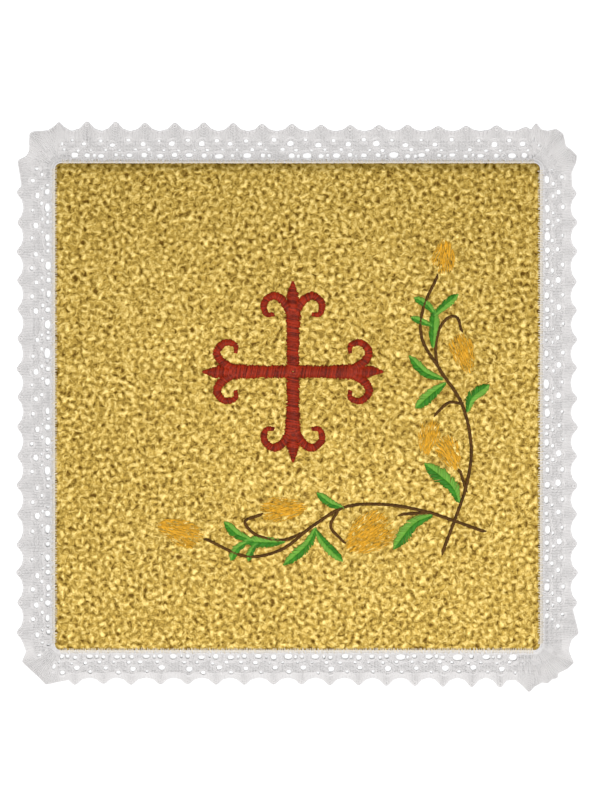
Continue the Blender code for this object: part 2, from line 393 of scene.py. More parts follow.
def lame_material(dark, light):
    material, tree, shader = new_material("crinkled_gold_lame", 0.40, 0.28)
    shader.inputs["Specular IOR Level"].default_value = 0.05
    place = tree.nodes.new("ShaderNodeTexCoord").outputs["Object"]
    foil = tree.nodes.new("ShaderNodeGroup")
    foil.node_tree = shared_group("Crushed foil", crinkle_group)
    foil.inputs["Ridges per metre"].default_value = FOIL_RIDGES
    tree.links.new(place, foil.inputs["Vector"])
    # The ramp paints shade into the creases and a highlight onto the ridges, from dark gold through
    # middle gold to light gold.
    ramp = tree.nodes.new("ShaderNodeValToRGB")
    ramp.color_ramp.elements[0].color = (*dark, 1.0)
    ramp.color_ramp.elements[1].color = (*light, 1.0)
    middle = ramp.color_ramp.elements.new(0.5)
    middle.color = MIDDLE_GOLD
    tree.links.new(foil.outputs["Painted shade and tone"], ramp.inputs["Fac"])
    tree.links.new(ramp.outputs["Color"], shader.inputs["Base Color"])
    add_bump(tree, foil.outputs["Height"], shader, FOIL_BUMP, 0.6)
    return material


def thread_material(name, dark, light, roughness, mottle, specular=0.2):
    """Thread whose stitches differ a little from one to the next."""
    material, tree, shader = new_material(name, roughness)
    shader.inputs["Specular IOR Level"].default_value = specular
    place = tree.nodes.new("ShaderNodeTexCoord").outputs["Object"]
    stitch = tree.nodes.new("ShaderNodeNewGeometry").outputs["Random Per Island"]
    thread = tree.nodes.new("ShaderNodeGroup")
    thread.node_tree = shared_group("Spun thread", thread_group)
    thread.inputs["Dark"].default_value = (*dark, 1.0)
    thread.inputs["Light"].default_value = (*light, 1.0)
    thread.inputs["Mottle"].default_value = mottle
    tree.links.new(place, thread.inputs["Vector"])
    tree.links.new(stitch, thread.inputs["Stitch"])
    tree.links.new(thread.outputs["Color"], shader.inputs["Base Color"])
    add_bump(tree, thread.outputs["Height"], shader, 0.05 * MM, 0.4)
    return material


def shaded(colour, factor):
    return tuple(min(1.0, channel * factor) for channel in colour)


# Modelling helpers

def deselect_all():
    for each in bpy.context.selected_objects:
        each.select_set(False)


def make_active(piece):
    deselect_all()
    piece.select_set(True)
    bpy.context.view_layer.objects.active = piece


def sew(name, runs, material):
    """Threads as one closed mesh. Each run is its points and its thread's radius."""
    curve = bpy.data.curves.new(name, "CURVE")
    curve.dimensions = "3D"
    curve.twist_mode = "Z_UP"
    curve.bevel_depth = 1.0
    curve.bevel_resolution = 0
    curve.use_fill_caps = True
    for points, radius in runs:
        spline = curve.splines.new("POLY")
        spline.points.add(len(points) - 1)
        homogeneous = np.ones((len(points), 4))
        homogeneous[:, :3] = points
        spline.points.foreach_set("co", homogeneous.ravel())
        spline.points.foreach_set("radius", np.full(len(points), radius))
    curve.materials.append(material)
    piece = bpy.data.objects.new(name, curve)
    bpy.context.scene.collection.objects.link(piece)
    make_active(piece)
    bpy.ops.object.convert(target="MESH")
    piece = bpy.context.active_object
    bpy.ops.object.mode_set(mode="EDIT")
    bpy.ops.mesh.select_all(action="SELECT")
    bpy.ops.mesh.remove_doubles(threshold=1e-7)
    bpy.ops.object.mode_set(mode="OBJECT")
    return piece


def smooth_line(points, step):
    """A curve through the points, read off at equal steps: places and ways along."""
    points = np.asarray(points, float)
    ends = np.vstack([2 * points[0] - points[1], points, 2 * points[-1] - points[-2]])
    share = np.linspace(0.0, 1.0, 24, endpoint=False)[:, None]
    stretches = []
    for before, start, end, after in zip(ends, ends[1:], ends[2:], ends[3:]):
        stretches.append(0.5 * (2 * start + (end - before) * share
                                + (2 * before - 5 * start + 4 * end - after) * share ** 2
                                + (3 * start - before - 3 * end + after) * share ** 3))
    line = np.vstack(stretches + [points[-1:]])
    travelled = np.concatenate([[0.0], np.cumsum(np.linalg.norm(np.diff(line, axis=0), axis=1))])
    places = np.linspace(0.0, travelled[-1], max(3, int(travelled[-1] / step) + 1))
    line = np.column_stack([np.interp(places, travelled, line[:, axis]) for axis in (0, 1)])
    way = np.gradient(line, axis=0)
    way /= np.linalg.norm(way, axis=1)[:, None]
    return line, way, places / travelled[-1]


def face_height(x, y):
    """The panel's face over a place, without its crinkles."""
    across = 1.0 - (2.0 * x / PANEL_WIDTH) ** 2
    along = 1.0 - (2.0 * y / PANEL_LENGTH) ** 2
    return PANEL_THICKNESS + PANEL_CROWN * across * along


# Panel

def rim_places(length, cell):
    """Places across the panel from edge to edge, close together round the rolled rim."""
    roll = [ROLL_WIDTH * (1.0 - math.cos(math.radians(angle)))
            for angle in RIM_ANGLES]
    flat = length - 2.0 * ROLL_WIDTH
    count = round(flat / cell)
    middle = [ROLL_WIDTH + flat * step / count for step in range(count + 1)]
    places = roll + middle + [length - inset for inset in reversed(roll)]
    return [place - length / 2.0 for place in places]


def roll_width(y):
    """The width of the rolled rim at a place's height up the face."""
    share = (y - PANEL_LENGTH / 2.0 + WIDENING_START) / WIDENING
    return NARROW_ROLL + (ROLL_WIDTH - NARROW_ROLL) * max(0.0, min(1.0, share))


def round_corner(x, y):
    """Moves a place of the square into its rounded corner; gives it and its inset."""
    over_x = abs(x) - (PANEL_WIDTH / 2.0 - CORNER_RADIUS)
    over_y = abs(y) - (PANEL_LENGTH / 2.0 - CORNER_RADIUS)
    if over_x <= 0.0 or over_y <= 0.0:
        return x, y, min(PANEL_WIDTH / 2.0 - abs(x), PANEL_LENGTH / 2.0 - abs(y))
    p, q = over_x / CORNER_RADIUS, over_y / CORNER_RADIUS
    p, q = p * math.sqrt(1.0 - q * q / 2.0), q * math.sqrt(1.0 - p * p / 2.0)
    inset = CORNER_RADIUS * (1.0 - math.hypot(p, q))
    return (math.copysign(PANEL_WIDTH / 2.0 - CORNER_RADIUS + p * CORNER_RADIUS, x),
            math.copysign(PANEL_LENGTH / 2.0 - CORNER_RADIUS + q * CORNER_RADIUS, y), inset)


def crinkle_height(x, y, pitch):
    """Short bent ridges over the cloth, about 0 to 1."""
    place = Vector((x / pitch, y / pitch, 0.0))
    bend = noise.noise(place * 0.5 + Vector((7.0, 3.0, 1.0)))
    ridge = 1.0 - abs(noise.noise(place * 1.5 + Vector((bend, -bend, 0.0)))) * 2.0
    return 0.7 * ridge + 0.3 * noise.noise(place * 3.0)


class PALL_OT_panel(bpy.types.Operator):
    """Make the gold cloth square, crinkled, with its edge rolled and turned in"""
    bl_idname = "pall.panel"
    bl_label = "Gold panel"
    bl_options = {"REGISTER", "UNDO"}

    def execute(self, context):
        settings = context.scene.pall_panel
        columns = rim_places(PANEL_WIDTH, settings.cell)
        rows = rim_places(PANEL_LENGTH, settings.cell)
        deselect_all()
        bpy.ops.mesh.primitive_grid_add(
            x_subdivisions=len(columns) - 1, y_subdivisions=len(rows) - 1, size=1.0)
        cloth = context.active_object
        cloth.name = "panel_cloth"
        for vert in cloth.data.vertices:
            column = round((vert.co.x + 0.5) * (len(columns) - 1))
            row = round((vert.co.y + 0.5) * (len(rows) - 1))
            x, y, inset = round_corner(columns[column], rows[row])
            height = face_height(x, y)
            roll = roll_width(y)
            if inset < roll:
                height -= TOP_ROLL * (1.0 - math.sqrt(max(0.0, 1.0 - (1.0 - inset / roll) ** 2)))
            fade = min(1.0, inset / CRINKLE_FADE)
            height += settings.crinkle * fade * crinkle_height(x, y, settings.crinkle_pitch)
            vert.co = (x, y, height)
        self.turn_in_edge(cloth)
        bpy.ops.object.shade_smooth_by_angle(angle=SMOOTH_ANGLE)
        cloth.data.materials.append(lame_material(settings.dark, settings.light))
        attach(cloth, "root")
        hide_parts("panel")
        return {"FINISHED"}

    @staticmethod
    def turn_in_edge(cloth):
        """Takes the cloth down the panel's side and under, and closes it there."""
        side = PANEL_THICKNESS - TOP_ROLL - BOTTOM_ROLL
        shrink = 1.0 - 2.0 * BOTTOM_ROLL / PANEL_WIDTH
        make_active(cloth)
        bpy.ops.object.mode_set(mode="EDIT")
        bpy.ops.mesh.select_all(action="SELECT")
        bpy.ops.mesh.region_to_loop()
        for _ in range(2):
            bpy.ops.mesh.extrude_region_move(
                TRANSFORM_OT_translate={"value": (0.0, 0.0, -side / 2.0)})
        bpy.ops.mesh.extrude_region_move(
            TRANSFORM_OT_translate={"value": (0.0, 0.0, -BOTTOM_ROLL)})
        bpy.ops.transform.resize(value=(shrink, shrink, 1.0), center_override=(0.0, 0.0, 0.0))
        bpy.ops.mesh.edge_face_add()
        # The margin keeps the rim's smooth shading off the flat underside.
        bpy.ops.mesh.inset(thickness=UNDERSIDE_MARGIN)
        bpy.ops.mesh.select_all(action="SELECT")
        bpy.ops.mesh.normals_make_consistent(inside=False)
        bpy.ops.object.mode_set(mode="OBJECT")


# Lace

def side_frame(side):
    """The side's middle on the panel's edge, the way along it clockwise, and the way out."""
    half_width = PANEL_WIDTH / 2.0
    half_length = PANEL_LENGTH / 2.0
    frames = {
        "top": ((0.0, half_length), (1.0, 0.0), (0.0, 1.0)),
        "right": ((half_width, 0.0), (0.0, -1.0), (1.0, 0.0)),
        "bottom": ((0.0, -half_length), (-1.0, 0.0), (0.0, -1.0)),
        "left": ((-half_width, 0.0), (0.0, 1.0), (-1.0, 0.0)),
    }
    return frames[side]


def side_stations(row, wander):
    """The picots of one side: for each point its phase from the first tip, x and y."""
    middle, along, out = side_frame(row["side"])
    sense = along[0] + along[1]
    pitch = abs(row["last"] - row["first"]) / (row["picots"] - 1)
    stations = []
    for index in range(row["picots"]):
        share = index / (row["picots"] - 1)
        if share < 0.5:
            reach = row["reach_first"] + (row["reach_middle"] - row["reach_first"]) * share * 2.0
        else:
            reach = (row["reach_middle"]
                     + (row["reach_last"] - row["reach_middle"]) * (share * 2.0 - 1.0))
        reach = reach * MM + wander.uniform(-TIP_WANDER, TIP_WANDER)
        tip = (row["first"] + (row["last"] - row["first"]) * share) * MM * sense
        tip += wander.uniform(-TIP_WANDER, TIP_WANDER)
        for step in PICOT_PROFILE:
            if index == row["picots"] - 1 and step["along"] == 0.5:
                continue
            place = tip + step["along"] * pitch * MM
            height = reach - (reach - row["valley"] * MM) * step["fall"]
            stations.append((index + step["along"],
                             middle[0] + along[0] * place + out[0] * height,
                             middle[1] + along[1] * place + out[1] * height))
    return stations


def corner_points(row, before, after):
    """The turn of one corner as (x, y), between the sides before and after it."""
    _, _, out_before = side_frame(before)
    _, _, out_after = side_frame(after)
    corner = ((out_before[0] + out_after[0]) * PANEL_WIDTH / 2.0,
              (out_before[1] + out_after[1]) * PANEL_LENGTH / 2.0)
    return [(corner[0] + (out_before[0] * step["before"] + out_after[0] * step["after"]) * MM,
             corner[1] + (out_before[1] * step["before"] + out_after[1] * step["after"]) * MM)
            for step in row["turn"]]


def seam_point(x, y):
    """The place on the strip's inner edge nearest to a point."""
    radius = CORNER_RADIUS + SEAM_GAP
    core_x = PANEL_WIDTH / 2.0 + SEAM_GAP - radius
    core_y = PANEL_LENGTH / 2.0 + SEAM_GAP - radius
    core = (max(-core_x, min(core_x, x)), max(-core_y, min(core_y, y)))
    offset = (x - core[0], y - core[1])
    distance = math.hypot(*offset)
    return core[0] + offset[0] * radius / distance, core[1] + offset[1] * radius / distance


class Strip:
    """The lace strip laid round the panel. Phase counts its picots, whole at each tip."""

    SAMPLES = 30
    PITCH = 8.9 * MM
    VALLEY = 0.93
    FAN_START = 5.6 * MM
    # The heading climbs the panel's side and lies on its rolled rim.
    SEAM_OUT = np.array([-0.50, -0.28, -0.04, 0.40, 1.00, 1.80, 2.80, 4.00, 5.40]) * MM
    SEAM_RISE = np.array([2.36, 2.12, 1.76, 1.30, 0.88, 0.52, 0.26, 0.10, 0.00]) * MM
    # Beyond the seam the strip lies on the table with slight waves.
    RIPPLE = 0.30 * MM
    RIPPLE_REACH = 9.0 * MM

    def __init__(self):
        wander = random.Random(TIP_SEED)
        stations, corners, base = [], [], 0.0
        sides = [side_stations(row, wander) for row in SIDES]
        for index, row in enumerate(SIDES):
            stations += [(base + phase, x, y) for phase, x, y in sides[index]]
            last_tip = base + row["picots"] - 1
            following = sides[(index + 1) % len(SIDES)]
            turn = corner_points(CORNERS[index], row["side"], SIDES[(index + 1) % 4]["side"])
            route = [stations[-1][1:]] + turn + [following[0][1:]]
            lengths = np.linalg.norm(np.diff(np.array(route), axis=0), axis=1)
            first_phase = stations[-1][0]
            pitches = max(1, round(float(lengths.sum()) / self.PITCH + 0.44))
            base = last_tip + pitches
            last_phase = base + following[0][0]
            travelled = np.cumsum(lengths)[:-1] / lengths.sum()
            stations += [(first_phase + (last_phase - first_phase) * share, x, y)
                         for share, (x, y) in zip(travelled, turn)]
            corners.append((first_phase, last_phase))
        self.picots = int(base)
        self.corners = corners
        known = np.array(stations)
        self.phases = np.arange(0, self.picots * self.SAMPLES) / self.SAMPLES
        outer = [np.interp(self.phases, known[:, 0], known[:, axis], period=self.picots)
                 for axis in (1, 2)]
        outer = [self.eased(line) for line in outer]
        inner = np.array([seam_point(x, y) for x, y in zip(*outer)]).T
        self.outer, self.inner = np.array(outer), inner
        self.width = np.linalg.norm(self.outer - self.inner, axis=0)
        window = np.ones(self.SAMPLES) / self.SAMPLES
        wrapped = np.concatenate([self.width[-self.SAMPLES:], self.width, self.width[:self.SAMPLES]])
        level = np.convolve(wrapped, window, mode="same")[self.SAMPLES:-self.SAMPLES]
        self.level = level * self.VALLEY

    @staticmethod
    def eased(line):
        """Rounds the outline's kinks."""
        for _ in range(2):
            line = 0.25 * np.roll(line, 1) + 0.5 * line + 0.25 * np.roll(line, -1)
        return line

    def read(self, line, phase):
        return np.interp(phase, self.phases, line, period=self.picots)

    def in_corner(self, phase, margin=0.0):
        phase = np.mod(phase, self.picots)
        found = np.zeros(np.shape(phase), bool)
        for first, last in self.corners:
            for turn in (0.0, self.picots):
                found |= (phase + turn > first - margin) & (phase + turn < last + margin)
        return found

    def place(self, phase, out, height):
        """World points of places on the strip. Out is the distance from the seam, before the
        fans follow the picots."""
        width, level = self.read(self.width, phase), self.read(self.level, phase)
        share = np.clip((out - self.FAN_START) / (level - self.FAN_START), 0.0, 1.2)
        distance = out + (width - level) * share ** 1.5
        way = np.array([(self.read(self.outer[axis], phase) - self.read(self.inner[axis], phase))
                        for axis in (0, 1)]) / width
        seam = np.array([self.read(self.inner[axis], phase) for axis in (0, 1)])
        spot = seam + way * distance
        ripple = np.maximum(0.0, np.sin(phase * 1.9 + 0.7)) ** 2
        lift = self.RIPPLE * ripple * np.clip(out / self.RIPPLE_REACH, 0.0, 1.0)
        lift += np.interp(out, self.SEAM_OUT, self.SEAM_RISE)
        return np.column_stack([spot[0], spot[1], height + lift])


def lace_holes(strip, rng):
    """Every hole of the strip: phase, distance out, half sizes; none where a corner is gathered."""
    holes = []
    for picot in range(strip.picots):
        for hole in HOLES:
            phase = picot + hole["along"] + rng.uniform(-HOLE_DRIFT, HOLE_DRIFT)
            out = (hole["out"] + rng.uniform(-HOLE_SHIFT, HOLE_SHIFT)) * MM
            size = rng.uniform(*HOLE_SIZES)
            gather = GATHER_BEYOND if out > SEAM_HOLES_END else GATHER_AT_SEAM
            if rng.random() < HOLE_MISSING or strip.in_corner(phase, gather):
                continue
            holes.append((phase, out, hole["half_along"] * size * MM,
                          hole["half_across"] * size * MM))
    return np.array(holes)


def near_holes(strip, holes, phase, out):
    """For each place the offset to each hole around, in the hole's half sizes."""
    for turn in (-strip.picots, 0.0, strip.picots):
        near = holes[(holes[:, 0] + turn > phase.min() - 0.5)
                     & (holes[:, 0] + turn < phase.max() + 0.5)]
        if len(near):
            along = (phase[:, None] - near[:, 0] - turn) * strip.PITCH / near[:, 2]
            across = (out[:, None] - near[:, 1]) / near[:, 3]
            yield near, along, across


def part_round_holes(strip, phase, out, holes, reach=2.1):
    """Moves a thread's places aside so that each hole stays open, as far as the hole's reach."""
    moved_phase, moved_out = phase.copy(), out.copy()
    for start in range(0, len(phase), BLOCK):
        part = slice(start, start + BLOCK)
        for near, along, across in near_holes(strip, holes, phase[part], out[part]):
            radius = np.maximum(np.hypot(along, across), 1e-6)
            moved = np.where(radius < reach, 1.0 + radius * (reach - 1.0) / reach, radius)
            push = moved / radius - 1.0
            moved_phase[part] += (along * push * near[:, 2] / strip.PITCH).sum(axis=1)
            moved_out[part] += (across * push * near[:, 3]).sum(axis=1)
    return moved_phase, moved_out


def open_stretches(strip, phase, out, holes):
    """The stretches of a thread that cross no hole, as slices."""
    middle_phase, middle_out = (phase[1:] + phase[:-1]) / 2.0, (out[1:] + out[:-1]) / 2.0
    free = np.ones(len(phase), bool)
    for start in range(0, len(middle_phase), BLOCK):
        part = slice(start, start + BLOCK)
        for _, along, across in near_holes(strip, holes, middle_phase[part], middle_out[part]):
            crossed = (np.hypot(along, across) < HOLE_CLEAR).any(axis=1)
            free[start:start + len(crossed)] &= ~crossed
            free[start + 1:start + 1 + len(crossed)] &= ~crossed
    edges = np.flatnonzero(np.diff(np.concatenate([[False], free, [False]]).astype(int)))
    return [slice(first, last) for first, last in zip(edges[::2], edges[1::2]) if last - first > 2]


def thinned(points, bend=math.radians(12.0), longest=2.2 * MM):
    """Drops points from a thread's straight stretches."""
    steps = np.diff(points, axis=0)
    lengths = np.linalg.norm(steps, axis=1)
    ways = steps / np.maximum(lengths, 1e-9)[:, None]
    turns = np.arccos(np.clip((ways[1:] * ways[:-1]).sum(axis=1), -1.0, 1.0))
    kept, turned, gone = [0], 0.0, 0.0
    for index, turn in enumerate(turns, start=1):
        turned += turn
        gone += lengths[index - 1]
        if turned > bend or gone > longest:
            kept.append(index)
            turned, gone = 0.0, 0.0
    return points[kept + [len(points) - 1]]


class PALL_OT_lace(bpy.types.Operator):
    """Make the picot lace edging, thread by thread, round the panel"""
    bl_idname = "pall.lace"
    bl_label = "Lace edging"
    bl_options = {"REGISTER", "UNDO"}

    LEVEL = 0.36 * MM
    ROW_STEP = 1.0 / 36.0
    HEADING_ROWS = (-0.50, -0.27, -0.03, 0.21, 0.45, 0.69, 0.93)
    NET_ROWS = tuple(1.32 + 0.40 * number for number in range(13))
    FAN_ROWS = 11
    FAN_FIRST = 6.5 * MM
    # Where the bars of a corner begin, in mm from the seam, so they don't crowd there.
    CORNER_STARTS = ((-0.5, -0.5), (3.4, 6.6), (1.4, 3.4), (3.4, 6.6))
    BAR_START = -0.50
    BAR_POINTS = 44
    BAR_WEAVE = 0.08
    DRAWN_FROM = 6.0 * MM
    DRAWN = 0.07
    RIM_RADIUS = 0.13 * MM
    RIM_GAP = 0.10 * MM

    def execute(self, context):
        settings = context.scene.pall_lace
        rng = random.Random(41)
        strip = Strip()
        holes = lace_holes(strip, rng)
        white = thread_material("white_cotton", shaded(settings.white, 0.97), settings.white,
                                0.9, 0.4, 0.15)
        # The heading's cotton is painted lighter than the rest of the lace. This painted light
        # offsets the shade on the heading's steep slope up the panel's side.
        heading_painted_light = thread_material("heading_cotton_painted_light", shaded(settings.white, 0.96),
                               shaded(settings.white, 1.12), 0.9, 0.4, 0.15)
        groups = (("lace_bars", self.bars(strip, holes, settings, rng)),
                  ("lace_heading", self.rows(strip, holes, self.HEADING_ROWS, settings, rng)),
                  ("lace_rows", self.rows(strip, holes, self.NET_ROWS, settings, rng)),
                  ("lace_fans", self.fan_rows(strip, holes, settings, rng)),
                  ("lace_rims", self.hole_rims(strip, holes, rng)),
                  ("lace_picots", self.picot_knots(strip, settings, rng)))
        pieces = [sew(name, runs, heading_painted_light if name == "lace_heading" else white)
                  for name, runs in groups]
        for piece in pieces:
            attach(piece, "root")
            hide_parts("lace_edging")
        return {"FINISHED"}

    @staticmethod
    def lay(strip, holes, phase, out, height, radius):
        """One thread on the strip, parted by the holes: the runs that it makes."""
        phase, out = part_round_holes(strip, phase, out, holes)
        points = strip.place(phase, out, height)
        return [(thinned(points[stretch]), radius)
                for stretch in open_stretches(strip, phase, out, holes)]

    def rows(self, strip, holes, outs, settings, rng):
        """Threads that run all the way round, at their distances from the seam in mm."""
        runs = []
        for number, out in enumerate(outs):
            phase = np.arange(0.0, strip.picots + 0.02, self.ROW_STEP)
            wave = 0.06 * MM * np.sin(phase * 2.0 * math.pi * 5.0 + number * 2.1)
            height = self.LEVEL + 0.03 * MM * math.sin(number * 1.7)
            runs += self.lay(strip, holes, phase, out * MM + wave, height,
                             settings.row_radius * rng.uniform(0.92, 1.08))
        return runs

    def fan_rows(self, strip, holes, settings, rng):
        """Close rows that follow the picots, with a stouter one along the edge."""
        runs = []
        for number in range(self.FAN_ROWS):
            share = number / (self.FAN_ROWS - 1)
            phase = np.arange(0.0, strip.picots + 0.02, self.ROW_STEP)
            edge = strip.read(strip.level, phase) - 0.15 * MM
            out = self.FAN_FIRST + (edge - self.FAN_FIRST) * share
            stout = 1.35 if number == self.FAN_ROWS - 1 else rng.uniform(1.0, 1.12)
            runs += self.lay(strip, holes, phase, out, self.LEVEL, settings.row_radius * stout)
        return runs

    def bars(self, strip, holes, settings, rng):
        """Threads from the seam to the edge, drawn together at each picot's tip."""
        runs = []
        for number in range(strip.picots * settings.bars):
            start = number / settings.bars + rng.uniform(-0.005, 0.005)
            level = float(strip.read(strip.level, start))
            begin = self.BAR_START
            if strip.in_corner(start, -0.3):
                begin = rng.uniform(*self.CORNER_STARTS[number % len(self.CORNER_STARTS)])
            out = np.linspace(begin * MM, level - 0.05 * MM, self.BAR_POINTS)
            drawn = np.clip((out - self.DRAWN_FROM) / (level - self.DRAWN_FROM), 0.0, 1.0) ** 2
            phase = start - self.DRAWN * drawn * math.sin(2.0 * math.pi * start)
            height = self.LEVEL + (self.BAR_WEAVE if number % 2 else -self.BAR_WEAVE) * MM
            runs += self.lay(strip, holes, phase, out, height,
                             settings.bar_radius * rng.uniform(0.97, 1.05))
        return runs

    def hole_rims(self, strip, holes, rng):
        """The thread wound round each hole's edge."""
        runs = []
        angles = np.linspace(0.0, 2.0 * math.pi, 13)
        for phase, out, half_along, half_across in holes:
            grow = 1.0 + self.RIM_GAP / half_across
            around = phase + np.cos(angles) * half_along * grow / strip.PITCH
            beyond = out + np.sin(angles) * half_across * grow
            points = strip.place(around, beyond, self.LEVEL + self.RIM_GAP)
            runs.append((points, self.RIM_RADIUS * rng.uniform(0.9, 1.15)))
        return runs

    def picot_knots(self, strip, settings, rng):
        """A small turned knot of thread on each tip."""
        runs = []
        angles = np.linspace(0.0, 4.0 * math.pi, 21)
        for picot in range(strip.picots):
            if strip.in_corner(picot, -0.1):
                continue
            out = float(strip.read(strip.level, picot)) - 0.55 * MM
            middle = strip.place(np.array([float(picot)]), np.array([out]), self.LEVEL)[0]
            size = rng.uniform(0.40, 0.52) * MM
            spread = size * (1.0 + 0.25 * np.cos(angles * 0.5))
            points = np.column_stack([middle[0] + spread * np.cos(angles),
                                      middle[1] + spread * np.sin(angles),
                                      middle[2] + 0.12 * MM * np.sin(angles * 1.5)])
            runs.append((points, settings.row_radius * 1.15))
        return runs


class PALL_OT_seam(bpy.types.Operator):
    """Whip the lace to the panel's edge with pale thread"""
    bl_idname = "pall.seam"
    bl_label = "Whip stitches"
    bl_options = {"REGISTER", "UNDO"}

    PITCH = 0.52 * MM
    RADIUS = 0.13 * MM
    # How far the stitches reach onto the face, in mm.
    TOP_REACH = (0.40, 0.60)
    REACH = (0.7, 1.15)

    def execute(self, context):
        settings = context.scene.pall_lace
        rng = random.Random(5)
        runs = []
        for side in SIDES:
            middle, along, out = side_frame(side["side"])
            length = PANEL_WIDTH if along[0] else PANEL_LENGTH
            count = int((length - 2.0 * CORNER_RADIUS) / self.PITCH)
            for number in range(count):
                place = (number + 0.5 - count / 2.0) * self.PITCH + rng.uniform(-0.15, 0.15) * MM
                lean = rng.uniform(0.25, 0.55) * MM
                inner = rng.uniform(*(self.TOP_REACH if side["side"] == "top" else self.REACH))
                section = ((rng.uniform(0.65, 0.95), 1.58, 0.0), (0.30, 2.30, 0.3),
                           (-0.12, 2.90, 0.6), (-0.34, 2.96, 0.8),
                           (-inner, 2.86 + 0.10 * inner, 1.0))
                points = [(middle[0] + along[0] * (place + lean * step) + out[0] * beyond * MM,
                           middle[1] + along[1] * (place + lean * step) + out[1] * beyond * MM,
                           height * MM) for beyond, height, step in section]
                runs.append((np.array(points), self.RADIUS))
        pale = thread_material("sewing_thread", shaded(settings.sewing, 0.92), settings.sewing,
                               0.7, 0.3)
        stitches = sew("seam_stitches", runs, pale)
        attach(stitches, "root")
        return {"FINISHED"}


# Embroidery

PROUD = 0.16 * MM
DIP = -0.12 * MM
LEAF_SLANT = 48.0
THREAD_WIDTHS = (0.88, 1.1)


def lay_stitch(start, end, radius, proud=PROUD):
    """One stitch from one place to another, its ends dipping into the cloth."""
    share = np.array([0.0, 0.12, 0.5, 0.88, 1.0])
    rise = np.array([DIP, 0.6 * proud, proud, 0.6 * proud, DIP])
    spots = start + (end - start) * share[:, None]
    height = [face_height(x, y) + up + radius for (x, y), up in zip(spots, rise)]
    return np.column_stack([spots, height]), radius


def turned_way(way, angle):
    """A direction turned by an angle in degrees."""
    cosine, sine = math.cos(math.radians(angle)), math.sin(math.radians(angle))
    return np.array([way[0] * cosine - way[1] * sine, way[0] * sine + way[1] * cosine])


def satin(line, halves, settings, rng, slant=12.0, spacing=1.0, fray=0.10, proud=PROUD):
    """Satin stitches across a line. Halves are its half widths at the line's points, in mm."""
    places, ways, share = smooth_line(np.array(line) * MM, settings.spacing * spacing)
    half = np.interp(share, np.linspace(0.0, 1.0, len(halves)), halves) * MM
    runs = []
    for spot, way, reach in zip(places, ways, half):
        across = turned_way(way, 90.0 - slant + rng.uniform(-3.0, 3.0))
        one = reach * rng.uniform(1.0 - fray, 1.0 + fray)
        two = reach * rng.uniform(1.0 - fray, 1.0 + fray)
        spot = spot + way * rng.uniform(-0.05, 0.05) * MM
        runs.append(lay_stitch(spot - across * one, spot + across * two,
                               settings.thread * rng.uniform(*THREAD_WIDTHS), proud))
    return runs


def fishbone(line, width, settings, rng):
    """A leaf of slanting stitches that meet on its rib: the runs left and right of it."""
    places, ways, share = smooth_line(np.array(line) * MM, settings.spacing * 1.15)
    half = np.interp(share, (0.0, 0.2, 0.55, 0.8, 1.0), (0.30, 0.80, 1.0, 0.68, 0.06))
    sides = []
    for side in (1.0, -1.0):
        runs = []
        for spot, way, reach in zip(places, ways, half * width * MM / 2.0):
            lean = turned_way(way, side * (LEAF_SLANT + rng.uniform(-4.0, 4.0)))
            length = reach / math.sin(math.radians(LEAF_SLANT)) * rng.uniform(0.86, 1.10)
            start = spot - lean * 0.18 * MM
            runs.append(lay_stitch(start, spot + lean * length,
                                   settings.thread * rng.uniform(*THREAD_WIDTHS), 0.20 * MM))
        sides.append(runs)
    return sides


def long_and_short(bud, settings, rng):
    """A bud of scattered lengthwise stitches, close in its middle and open at its rim."""
    middle = np.array(bud["centre"]) * MM
    way = turned_way((1.0, 0.0), bud["angle"])
    beside = turned_way(way, 90.0)
    half_length, half_width = bud["length"] * MM / 2.0, bud["width"] * MM / 2.0
    count = round(bud["length"] * bud["width"] * settings.bud_cover)
    runs = []
    for number in range(count):
        reach = math.sqrt((number + 0.5) / count) ** 1.3
        turn = rng.uniform(0.0, 2.0 * math.pi)
        ahead, aside = reach * math.cos(turn), reach * math.sin(turn)
        aside *= 1.0 - 0.28 * ahead
        spot = middle + way * ahead * half_length * 0.80 + beside * aside * half_width * 0.92
        lean = turned_way(way, -aside * 16.0 + rng.uniform(-9.0, 9.0))
        length = rng.uniform(1.1, 2.4) * MM * (1.15 - 0.4 * reach)
        runs.append(lay_stitch(spot - lean * length / 2.0, spot + lean * length / 2.0,
                               settings.thread * rng.uniform(0.45, 0.65),
                               (0.06 + 0.14 * (1.0 - reach)) * MM))
    return runs


def turned(points, quarter, centre, mirror=1.0):
    """Points turned by quarters about the origin, then moved to a centre, in mm."""
    angle = math.radians(90.0 * quarter)
    return [(centre[0] + mirror * x * math.cos(angle) - y * math.sin(angle),
             centre[1] + mirror * x * math.sin(angle) + y * math.cos(angle)) for x, y in points]


def add_embroidery(name, runs, dark, light, mottle=0.8, gloss=0.42):
    """Sews the runs on the panel with silk between two tones."""
    silk = thread_material(name.replace("stitches", "silk"), dark, light, gloss, mottle)
    piece = sew(name, runs, silk)
    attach(piece, "root")


class PALL_OT_cross(bpy.types.Operator):
    """Embroider the red cross with curled ends"""
    bl_idname = "pall.cross"
    bl_label = "Red cross"
    bl_options = {"REGISTER", "UNDO"}

    def execute(self, context):
        settings = context.scene.pall_embroidery
        rng = random.Random(8)
        runs = []
        for quarter in range(4):
            for layer, slant in ((0, 28.0), (1, 10.0)):
                proud = (0.10 + 0.16 * layer) * MM
                for shape, mirror in ((CROSS_CURL, 1.0), (CROSS_CURL, -1.0),
                                      (CROSS_PETAL, 1.0), (CROSS_BAR, 1.0)):
                    line = turned(shape["line"], quarter, CROSS_CENTRE, mirror)
                    runs += satin(line, shape["halves"], settings, rng, slant * mirror,
                                  1.0, 0.16, proud)
        add_embroidery("cross_stitches", runs, shaded(settings.red, 0.45),
                       shaded(settings.red, 1.35), 1.0)
        return {"FINISHED"}


